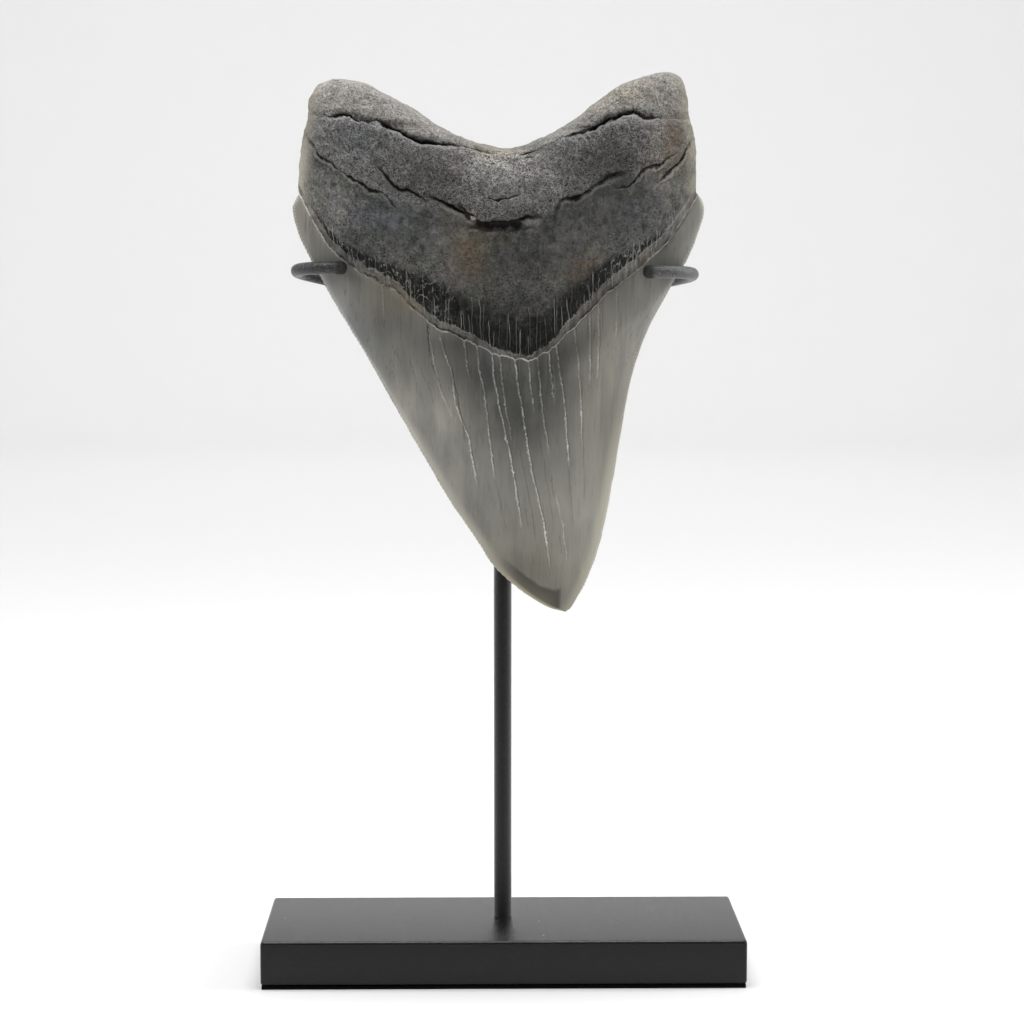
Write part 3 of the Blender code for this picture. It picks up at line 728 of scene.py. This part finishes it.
def fossilFinish():
    f = Finish("fossil")
    fine = f.minus(f.grain(0.7, 3, 0.6), 0.5)
    ragged = f.plus(f.value("enamelDepth"), f.times(fine, 0.9))
    crown = f.ramp(ragged, -0.07, 0.07)

    # bone of the root: a net of light threads above the lower ledge, smoother and streaked below it
    small = f.threads(0.7, 0.065, f.stretched(1, 1, 1.25))
    uneven = f.ramp(f.grain(3, 3, 0.65), 0.35, 0.65, 0.5, 1.1)
    net = f.times(f.greater(f.times(f.threads(1.4, 0.045), 0.85), small), uneven)
    pits = f.ramp(f.grain(0.6, 3, 0.65), 0.48, 0.36)
    speck = f.grain(0.5, 3, 0.7)
    mottle = f.grain(6, 3, 0.6)
    hue = f.grain(5, 3, 0.6)
    warmer = f.ramp(hue, 0.42, 0.58)
    streaks = f.grain(1.2, 3, 0.6, place=f.stretched(1, 0.6, 0.14))
    crumbs = f.ramp(f.grain(0.8, 2, 0.6), 0.59, 0.68)
    clouded = f.grain(2.4, 4, 0.7)
    gritty = f.value("gritty")
    upper = f.layers(
        f.mix(warmer, (0.088, 0.098, 0.086), (0.122, 0.104, 0.113)),
        (f.ramp(mottle, 0.35, 0.65, 0, 0.5), (0.15, 0.146, 0.14)),
        (f.times(pits, 0.85), (0.02, 0.02, 0.019)),
        (net, (0.4, 0.39, 0.375)))
    lower = f.layers(
        f.mix(warmer, (0.088, 0.096, 0.084), (0.112, 0.104, 0.114)),
        (f.ramp(mottle, 0.38, 0.65, 0, 0.6), (0.16, 0.155, 0.145)),
        (f.ramp(clouded, 0.5, 0.37, 0, 0.75), (0.042, 0.042, 0.04)),
        (f.ramp(clouded, 0.52, 0.66, 0, 0.7), (0.235, 0.23, 0.212)),
        (f.ramp(streaks, 0.5, 0.78, 0, 0.35), (0.2, 0.196, 0.186)),
        (f.times(pits, gritty), (0.025, 0.025, 0.022)),
        (f.times(small, gritty, 0.6), (0.24, 0.23, 0.195)),
        (f.times(crumbs, gritty, 0.8), f.mix(warmer, (0.25, 0.26, 0.2), (0.32, 0.285, 0.22))))
    wobble = f.times(f.minus(mottle, 0.5), 8)
    lowerShare = f.ramp(f.plus(f.value("lowerBone"), wobble), -0.3, 1.2)
    crest = f.layers(
        f.mix(warmer, (0.215, 0.212, 0.196), (0.275, 0.252, 0.232)),
        (f.times(pits, 0.75), (0.065, 0.062, 0.057)),
        (f.times(net, 0.75), (0.56, 0.54, 0.5)))
    rust = f.mix(f.ramp(f.grain(1, 3, 0.7), 0.4, 0.6), (0.075, 0.067, 0.056), (0.2, 0.15, 0.102))
    rim = f.value("rim")
    tan = f.times(f.ramp(rim, 4.5, 0.3, 0, 0.9), f.ramp(mottle, 0.3, 0.5, 0.4, 1))

    # dark band above the enamel, its hair cracks and the grey strip at its foot
    raggedBand = f.times(f.minus(f.grain(1.6, 4, 0.75), 0.5), 2.2)
    bandSides = f.value("bandSides")
    upright = f.threads(0.8, 0.05, f.stretched(1, 1, 0.25))
    curls = f.times(f.threads(2, 0.03, f.stretched(1, 1, 0.55)), bandSides)
    sprinkle = f.times(crumbs, f.ramp(f.grain(2.5, 3, 0.7), 0.48, 0.62), bandSides)
    band = f.layers(
        f.mix(f.ramp(streaks, 0.4, 0.75), (0.003, 0.003, 0.0027), (0.021, 0.022, 0.019)),
        (f.times(upright, 0.22), (0.12, 0.12, 0.1)),
        (f.times(curls, f.ramp(clouded, 0.44, 0.57), 0.75), (0.42, 0.42, 0.38)),
        (f.times(sprinkle, 0.7), (0.36, 0.36, 0.32)))
    hairRag = f.times(fine, 1.2)
    hairs = f.greater(f.line("hairA", hairRag), f.line("hairB", hairRag))
    strip = f.plus(f.value("stripDepth"), f.times(fine, 2.2))
    stripTone = f.layers(
        f.mix(f.ramp(streaks, 0.4, 0.7), (0.114, 0.111, 0.101), (0.275, 0.264, 0.235)),
        (f.ramp(hue, 0.5, 0.62, 0, 0.5), (0.15, 0.115, 0.1)))
    secondEdge = f.times(f.around(f.plus(strip, -1.1), 0.3), 0.6)
    stripEdge = f.times(f.greater(f.around(strip, 0.4), secondEdge),
                        f.ramp(f.grain(3, 3, 0.6), 0.38, 0.6, 0, 0.8))

    # open cracks: painted shadow beside them, a painted lit edge below them, and painted shade inside
    shown, hollow = f.value("fissureShow"), f.value("hollow")
    gash = f.plus(f.value("fissure"), hairRag)
    shadeInCracks = f.times(f.ramp(f.size(gash), 1.25, 0.5), shown)
    shadowBesideCracks = f.times(f.ramp(f.size(gash), 3, 1), shown, 0.5)
    litEdge = f.times(f.ramp(gash, -1.2, -1.7), f.ramp(gash, -3.4, -2.2), shown)
    # painted light on the raised blocks and rims beside the pocket, which face the light from above
    paintedLightOnLumps = f.times(f.ramp(hollow, -0.1, -0.6), f.ramp(speck, 0.35, 0.65, 0, 0.6))
    root = f.layers(
        f.mix(lowerShare, upper, lower),
        (f.times(f.value("crest"), 0.9), crest),
        (f.times(f.value("stain"), 0.85), rust),
        (tan, f.mix(speck, (0.22, 0.205, 0.17), (0.5, 0.465, 0.38))),
        (f.ramp(f.plus(f.value("bandDepth"), raggedBand), 0, 1.35), band),
        (f.ramp(strip, -0.3, 0.3), stripTone),
        (stripEdge, (0.36, 0.35, 0.31)),
        (f.times(hairs, 0.95), (0.52, 0.51, 0.46)),
        # painted shadow beside the cracks, painted light on their lower edge and painted shade inside them
        (shadowBesideCracks, (0.035, 0.033, 0.03)),
        (f.times(litEdge, 0.65), (0.42, 0.405, 0.37)),
        (shadeInCracks, (0.008, 0.0075, 0.007)),
        # painted shade in the pocket and pits, then painted light on the raised blocks
        (f.ramp(hollow, 0.4, 1.6, 0, 0.9), (0.012, 0.011, 0.01)),
        (paintedLightOnLumps, (0.33, 0.32, 0.29)),
        (f.ramp(f.value("brightGrain"), 0.38, 0.5), (0.85, 0.82, 0.78)))

    # enamel
    height = f.height()
    low = f.ramp(height, 175, 125)
    tall = f.grain(1, 4, 0.65, place=f.stretched(1.3, 0.4, 0.045))
    panels = f.grain(4.5, place=f.stretched(1, 0.3, 0.1))
    thread = f.grain(0.45, place=f.stretched(1, 0.4, 0.03))
    smoky = f.ramp(f.grain(3.5, 3, 0.6, place=f.stretched(1, 0.5, 0.35)), 0.3, 0.7, 0.65, 1.2)
    threaded = f.times(f.ramp(thread, 0.58, 0.72, 0, 0.4), f.ramp(low, 0, 1, 1, 0.5))
    dashes = f.grain(0.5, place=f.stretched(1, 0.4, 0.11))
    dashed = f.times(f.ramp(dashes, 0.63, 0.73, 0, 0.65), f.ramp(f.grain(7), 0.46, 0.6, 0.1, 1),
                     f.ramp(low, 0, 1, 1, 0.4))
    facetDepth = f.plus(f.value("facetDepth"), f.times(fine, 0.8))
    olive = f.layers(
        f.mix(f.ramp(facetDepth, 0.2, 3.6), (0.092, 0.089, 0.074), (0.148, 0.141, 0.108)),
        (f.ramp(rim, 2.3, 0.4), (0.54, 0.5, 0.38)))
    teeth = f.size(f.math("SINE", f.times(f.value("edgeWalk"), pi)))
    # painted shade in the notches between the serrations
    shadeInNotches = f.times(f.ramp(teeth, 0.5, 0.2), f.ramp(rim, 0.6, 0.3), f.ramp(height, 105, 165, 0.15, 1))
    lineRag = f.times(fine, 4)
    beaded = f.times(f.ramp(f.grain(0.6, 2, 0.6), 0.38, 0.52, 0.25, 1),
                     f.ramp(f.grain(4, 2, 0.6), 0.35, 0.6, 0.45, 1))
    # painted shadow: a dark line beside each light crack
    shadowBesideLightCracks = [f.times(f.around(f.plus(f.value(name), -1.7), 0.9), f.value(name + "Show"))
               for name in ("lightA", "lightB")]
    blobs = f.times(f.ramp(f.grain(1.1, 2, 0.6, place=f.stretched(1, 0.5, 0.6)), 0.54, 0.66), low, 1.2)
    light = f.greater(f.line("lightA", lineRag, blobs), f.line("lightB", lineRag, blobs))
    light = f.times(light, beaded)
    enamel = f.layers(
        f.mix(f.ramp(f.grain(16), 0.35, 0.65), (0.272, 0.266, 0.236), (0.318, 0.305, 0.268)),
        (f.math("MULTIPLY", f.value("cloud"), smoky, clamp=True), (0.09, 0.09, 0.078)),
        (f.ramp(panels, 0.45, 0.68, 0, 0.35), (0.13, 0.128, 0.115)),
        (f.ramp(tall, 0.52, 0.8, 0, 0.4), (0.115, 0.113, 0.1)),
        (f.ramp(tall, 0.42, 0.25, 0, 0.35), (0.4, 0.395, 0.36)),
        (threaded, (0.11, 0.108, 0.1)),
        (dashed, (0.075, 0.073, 0.068)),
        (f.times(f.ramp(rim, 3.6, 0.6), low, 0.75), (0.46, 0.44, 0.365)),
        (f.times(f.ramp(facetDepth, -0.5, 0.5), f.value("facetShow"), 0.9), olive),
        # painted highlight along the cutting edges
        (f.ramp(rim, 0.55, 0.2, 0, 0.6), (0.6, 0.58, 0.48)),
        # painted shade in the serration notches
        (f.times(shadeInNotches, 0.75), (0.1, 0.098, 0.088)),
        # painted shadow beside the light cracks
        (f.times(f.greater(*shadowBesideLightCracks), 0.6), (0.05, 0.05, 0.045)),
        (light, f.mix(low, (0.76, 0.75, 0.69), (0.98, 0.97, 0.92))))

    # the margin, and the light and dark of the whole
    marginLine = f.times(f.around(ragged, 0.26), f.ramp(f.grain(1.5, 3, 0.6), 0.38, 0.56, 0.35, 1))
    stepShadow = f.times(f.around(f.plus(ragged, 0.5), 0.45),
                         f.ramp(f.grain(6), 0.51, 0.61, 0, 0.75))
    colour = f.layers(
        f.mix(crown, root, enamel),
        (stepShadow, (0.02, 0.019, 0.017)),
        (marginLine, (0.74, 0.72, 0.64)),
        (f.times(f.line("dark", lineRag), 0.9), (0.025, 0.025, 0.022)))
    rimShade = f.minus(1, f.times(f.ramp(rim, 6.5, 1.5), crown, f.ramp(height, 128, 150), 0.08))
    # shade: the tone patches, which hold painted light and shade as well as the tooth's own tone, and
    # rimShade, painted shade near the cutting edges
    shade = f.times(f.plus(f.value("toneAndPaintedLight"), 0.815), rimShade)
    tint = f.value("tint")
    channels = [f.times(shade, f.plus(f.times(tint, more), 1)) for more in (0.08, 0.02, -0.09)]
    shades = f.add("CombineXYZ", dict(enumerate(channels))).outputs[0]
    colour = f.mix(1, colour, shades, "MULTIPLY")

    relief = f.plus(f.plus(f.times(net, 0.7), f.times(pits, -0.8)), f.times(speck, 0.5))
    quiet = f.minus(1, f.times(lowerShare, 0.6))
    relief = f.times(relief, quiet, f.ramp(strip, -0.3, 0.3, 1, 0.3), f.minus(1, crown))
    normal = f.bump(f.minus(relief, f.times(shadeInCracks, 0.8)), 0.3)
    normal = f.bump(f.minus(f.times(tall, crown), f.times(light, 0.4)), 0.06, 0.7, normal)
    return f.set(Base_Color=colour, Roughness=f.ramp(crown, 0, 1, 0.88, 0.4), Normal=normal,
                 Specular_IOR_Level=0.28)


def makeTooth():
    mesh = toothSheets()
    print("tooth skin closed:", len(mesh.vertices), "points")
    finishTooth(mesh)
    addPiece("toothSkin", mesh, fossilFinish(), "megalodon_tooth")
    print("tooth finished")


# The stand

standSizes = {
    "edge": 0.9, "edgeFacets": 5,
    "rodSides": 64, "topRound": 0.5,
    "armDiameter": 3.3, "bendPoints": 40, "tipSleeve": 2.9, "tipSwell": 0.08,
    "noseLength": 0.9, "noseRound": 2.2,  # the prong's round end, its length in radii
    "collar": 0.5, "collarReach": 1.6,  # small fillet of braze where an arm meets the post
    "armBuried": 1.8,  # how much of an arm is inside the post, so that no gap shows
    "dipAndShadeEnds": (2.2, 3.4),  # the prong's end is dipped in rubber up to here, and is painted dark as shade there as well
}
armSizes = {  # side, reach of the bend, end of the prong, prong's height and place, fall of the leg
    "left_arm": dict(side=-1, outer=55.5, tip=40.4, prongZ=187.35, prongY=-14.3, fall=0.25),
    "right_arm": dict(side=1, outer=51.3, tip=36.1, prongZ=186.35, prongY=-15.05, fall=0.22),
}
coats = {  # darkest and lightest colour, light grains, roughness, height of the grain, gloss, velvety sheen
    "base": (0.003, 0.006, 0, (0.2, 0.3), 0.08, 0.32, 0),
    "post": (0.003, 0.006, 0, (0.2, 0.3), 0.08, 0.24, 0.5),
    # the arms' lighter colours and light grains, the right arm's most, are painted light falling on the
    # rods
    "left_arm": (0.003, 0.012, 0.4, (0.24, 0.38), 0.28, 0.55, 0),
    "right_arm": (0.02, 0.08, 0.7, (0.3, 0.46), 0.28, 0.7, 0),
}
coatMarks = {
    "grainColour": (0.22, 0.22, 0.22),
    "dustHeights": (12.2, 13),  # where dust lies on the base's top
    "dustSpacing": 1.5, "dustShare": 0.7, "dustColour": (0.6, 0.6, 0.58),
    "dipAndShadeColours": ((0.005, 0.0055, 0.005), (0.024, 0.025, 0.021)),  # rubber at a prong's end, made dark as painted shade under the root's overhang too
    "dipRougher": 0.5,
}


def coatFinish(name):
    dark, light, grains, roughness, relief, gloss, sheen = coats[name]
    dark, light = ((shade, 1.04 * shade, 1.03 * shade) for shade in (dark, light))
    f = Finish(name + "Coat")
    peel = f.grain(0.45)
    speck = f.grain(0.2, 2, 0.6)
    height = f.height()
    low, high = coatMarks["dustHeights"]
    topSide = f.times(f.ramp(height, low, low + 0.4), f.ramp(height, high, high - 0.2))
    spots = f.ramp(f.cells(coatMarks["dustSpacing"], f.stretched(1, 0.3, 0)), 0.14, 0.05)
    dusty = f.ramp(f.grain(8, place=f.stretched(1, 0.5, 0)), 0.55, 0.62)
    dipAndShade = f.value("dipAndShade")
    colour = f.layers(
        f.mix(f.ramp(speck, 0.3, 0.75), dark, light),
        (f.ramp(f.grain(18, 3, 0.6), 0.35, 0.75, 0, 0.3), light),
        # light grains: on the arms they are painted light
        (f.ramp(f.grain(0.3, 2, 0.6), 0.52, 0.68, 0, grains), coatMarks["grainColour"]),
        (f.times(spots, topSide, dusty, coatMarks["dustShare"]), coatMarks["dustColour"]),
        # dark rubber at the prong's end, its darkness also painted shade under the root
        (dipAndShade, f.mix(f.ramp(peel, 0.4, 0.6), *coatMarks["dipAndShadeColours"])))
    rough = f.ramp(speck, 0.2, 0.8, *roughness)
    rough = f.math("ADD", rough, f.times(dipAndShade, coatMarks["dipRougher"]), clamp=True)
    normal = f.bump(speck, 0.05, 0.8, f.bump(peel, relief))
    return f.set(Base_Color=colour, Roughness=rough, Normal=normal, Specular_IOR_Level=gloss,
                 Sheen_Weight=sheen, Sheen_Roughness=0.5)


def padFinish():
    f = Finish("rubberPad")
    speck = f.grain(0.25, 3, 0.6)
    colour = f.mix(f.ramp(speck, 0.3, 0.7), (0.001, 0.001, 0.001), (0.004, 0.004, 0.004))
    normal = f.bump(speck, 0.08, 0.6)
    return f.set(Base_Color=colour, Roughness=1, Normal=normal, Specular_IOR_Level=0.15)


def nodeSpan(node):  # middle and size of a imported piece, in millimetres
    low, high = (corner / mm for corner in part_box(node))
    return (low + high) / 2, high - low


def makeBase(finish):
    middle, size = nodeSpan("base")
    bm = bmesh.new()
    bmesh.ops.create_cube(bm, size=1)
    bmesh.ops.scale(bm, vec=size * mm, verts=bm.verts)
    bmesh.ops.bevel(bm, geom=bm.edges[:], offset=standSizes["edge"] * mm, affect="EDGES",
                    segments=standSizes["edgeFacets"], profile=0.5, material=-1)
    bmesh.ops.translate(bm, vec=middle * mm, verts=bm.verts)
    mesh = meshFrom(bm, "baseBlock", pi / 5)
    addPiece("baseBlock", mesh, finish, "base")


def makePost(finish):
    middle, size = nodeSpan("post")
    bm = bmesh.new()
    bmesh.ops.create_cone(bm, cap_ends=True, segments=standSizes["rodSides"], radius1=size.x / 2 * mm,
                          radius2=size.x / 2 * mm, depth=size.z * mm,
                          matrix=Matrix.Translation(middle * mm))
    rim = [e for e in bm.edges if all(v.co.z > middle.z * mm for v in e.verts)]
    bmesh.ops.bevel(bm, geom=rim, offset=standSizes["topRound"] * mm, segments=3, profile=0.5,
                    affect="EDGES", material=-1)
    addPiece("postRod", meshFrom(bm, "postRod", pi / 5), finish, "post")


def armPath(side, outer, tip, prongZ, prongY, fall):
    # centre line from the prong's end, round the bend and down the rear leg to the post
    postMiddle, postSize = nodeSpan("post")
    radius = (postMiddle.y - prongY) / 2
    bendX = outer - standSizes["armDiameter"] / 2 - radius
    path = [Vector((x, prongY, prongZ)) for x in np.linspace(tip, bendX, 14)[:-1]]
    for done in range(standSizes["bendPoints"] + 1):
        turn = pi * done / standSizes["bendPoints"]
        drop = fall * radius * turn**2 / (2 * pi)
        path.append(Vector((bendX + radius * sin(turn), postMiddle.y - radius * (1 + cos(turn)),
                            prongZ - drop)))
    bendEnd = path[-1]
    run = bendEnd.x - postSize.x / 2 + standSizes["armBuried"]
    for along in np.linspace(0, run, 30)[1:]:
        path.append(bendEnd + Vector((-along, 0, -fall * along)))
    return [Vector((side * point.x, point.y, point.z)) for point in path]


def armRadius(walked, length):  # swells at the dipped end and at the braze
    radius = standSizes["armDiameter"] / 2
    if walked < standSizes["tipSleeve"]:
        radius += standSizes["tipSwell"]
    nose = radius * standSizes["noseLength"]
    if walked < nose:
        radius *= (1 - (1 - walked / nose) ** standSizes["noseRound"]) ** 0.5
    gap = max(0, length - walked - standSizes["armBuried"])
    return radius + standSizes["collar"] * max(0, 1 - gap / standSizes["collarReach"]) ** 2


def makeArm(name, finish):
    path = armPath(**armSizes[name])
    lengths = np.concatenate([[0], np.cumsum([(b - a).length for a, b in zip(path, path[1:])])])
    postEdge = lengths[-1] - standSizes["armBuried"]
    stations = np.concatenate([np.linspace(0, 0.4, 5), np.linspace(0.6, 3.2, 12),
                               np.linspace(3.6, postEdge - 1.8, 110),
                               np.linspace(postEdge - 1.6, postEdge, 8), [lengths[-1]]])
    sides = standSizes["rodSides"] // 2
    bm = bmesh.new()
    dipAndShadeLayer = bm.verts.layers.float.new("dipAndShade")
    ring = []
    for walked in stations:
        centre, ahead, behind = (
            Vector([float(np.interp(walked + off, lengths, places)) for places in zip(*path)])
            for off in (0, 0.1, -0.1))
        turned = (ahead - behind).to_track_quat("Z", "Y").to_matrix().to_4x4()
        radius = max(0.02, armRadius(float(walked), float(lengths[-1])))
        made = bmesh.ops.create_circle(bm, cap_ends=False, segments=sides, radius=radius,
                                       matrix=Matrix.Translation(centre) @ turned)["verts"]
        for vert in made:
            vert[dipAndShadeLayer] = float(np.interp(walked, standSizes["dipAndShadeEnds"], (1, 0)))
        if ring:
            edges = [e for group in (ring, made) for e in {e for v in group for e in v.link_edges}
                     if all(v in group for v in e.verts)]
            bmesh.ops.bridge_loops(bm, edges=edges)
        ring = made
    bmesh.ops.holes_fill(bm, edges=[e for e in bm.edges if e.is_boundary], sides=0)
    bmesh.ops.scale(bm, vec=(mm, mm, mm), verts=bm.verts)
    addPiece(name + "Rod", meshFrom(bm, name, pi / 4), finish, name)


def makeStand():
    makeBase(coatFinish("base"))
    makePost(coatFinish("post"))
    for name in armSizes:
        makeArm(name, coatFinish(name))
    pad = frame["nodes"]["base_pad"]
    pad.data.materials.clear()
    pad.data.materials.append(padFinish())
    print("stand finished")


# Studio

studio = {
    "lens": 95, "sensor": 36, "eye": (-8.3, -716.2, 186.4), "downPitch": 5.085, "yaw": -0.86,
    "floorRadius": 2200, "bend": 700, "wallTop": 3000, "paper": (0.6, 0.6, 0.6),
    "lamps": {  # place in metres, aim, size across and up, watts
        "above": ((0, -0.05, 1.2), (0, 0, 0.2), (0.9, 0.6), 19),
        "behind": ((0, 1.6, 1.9), (0, 2.6, 0.5), (1.6, 0.5), 34),
        "left": ((-1.7, 0.1, 0.85), (0, 0, 0.15), (0.6, 1.1), 10),
        "right": ((1.7, 0.1, 0.85), (0, 0, 0.15), (0.6, 1.1), 22),
    },
    "sky": (0.38, 0.38, 0.38),
}


def makeStage():
    f = Finish("paper")
    paper = f.set(Base_Color=(*studio["paper"], 1), Roughness=0.9)
    bm = bmesh.new()
    radius, bend, top = (studio[name] * mm for name in ("floorRadius", "bend", "wallTop"))
    profile = [(0, 0)] + [(radius + bend * sin(a), bend * (1 - cos(a))) for a in np.linspace(0, pi / 2, 13)]
    profile.append((radius + bend, top))
    verts = [bm.verts.new((x, 0, z)) for x, z in profile]
    edges = [bm.edges.new(pair) for pair in zip(verts, verts[1:])]
    bmesh.ops.spin(bm, geom=verts + edges, cent=(0, 0, 0), axis=(0, 0, 1), angle=2 * pi, steps=72,
                   use_merge=True)
    bmesh.ops.remove_doubles(bm, verts=bm.verts, dist=1e-5)
    mesh = meshFrom(bm, "studioBowl", pi / 4)
    mesh.flip_normals()
    addPiece("studioBowl", mesh, paper, onStage=True)


def makeLights():
    for name, (place, aim, (wide, high), watts) in studio["lamps"].items():
        data = bpy.data.lights.new(name, "AREA")
        data.shape = "RECTANGLE"
        data.size, data.size_y = wide, high
        data.energy = watts
        lamp = bpy.data.objects.new(name, data)
        bpy.context.scene.collection.objects.link(lamp)
        lamp.visible_camera = False
        lamp.location = place
        lamp.rotation_euler = (Vector(aim) - Vector(place)).to_track_quat("-Z", "Y").to_euler()
    world = bpy.data.worlds.new("studio")
    world.use_nodes = True
    world.node_tree.nodes["Background"].inputs["Color"].default_value = (*studio["sky"], 1)
    bpy.context.scene.world = world


def makeCamera():
    data = bpy.data.cameras.new("camera")
    data.lens, data.sensor_width = studio["lens"], studio["sensor"]
    camera = bpy.data.objects.new("camera", data)
    bpy.context.scene.collection.objects.link(camera)
    camera.location = Vector(studio["eye"]) * mm
    camera.rotation_euler = (radians(90 - studio["downPitch"]), 0, radians(studio["yaw"]))
    bpy.context.scene.camera = camera


makeCamera()
makeStage()
makeLights()
makeStand()
makeTooth()
bpy.context.scene.view_settings.view_transform = "Standard"
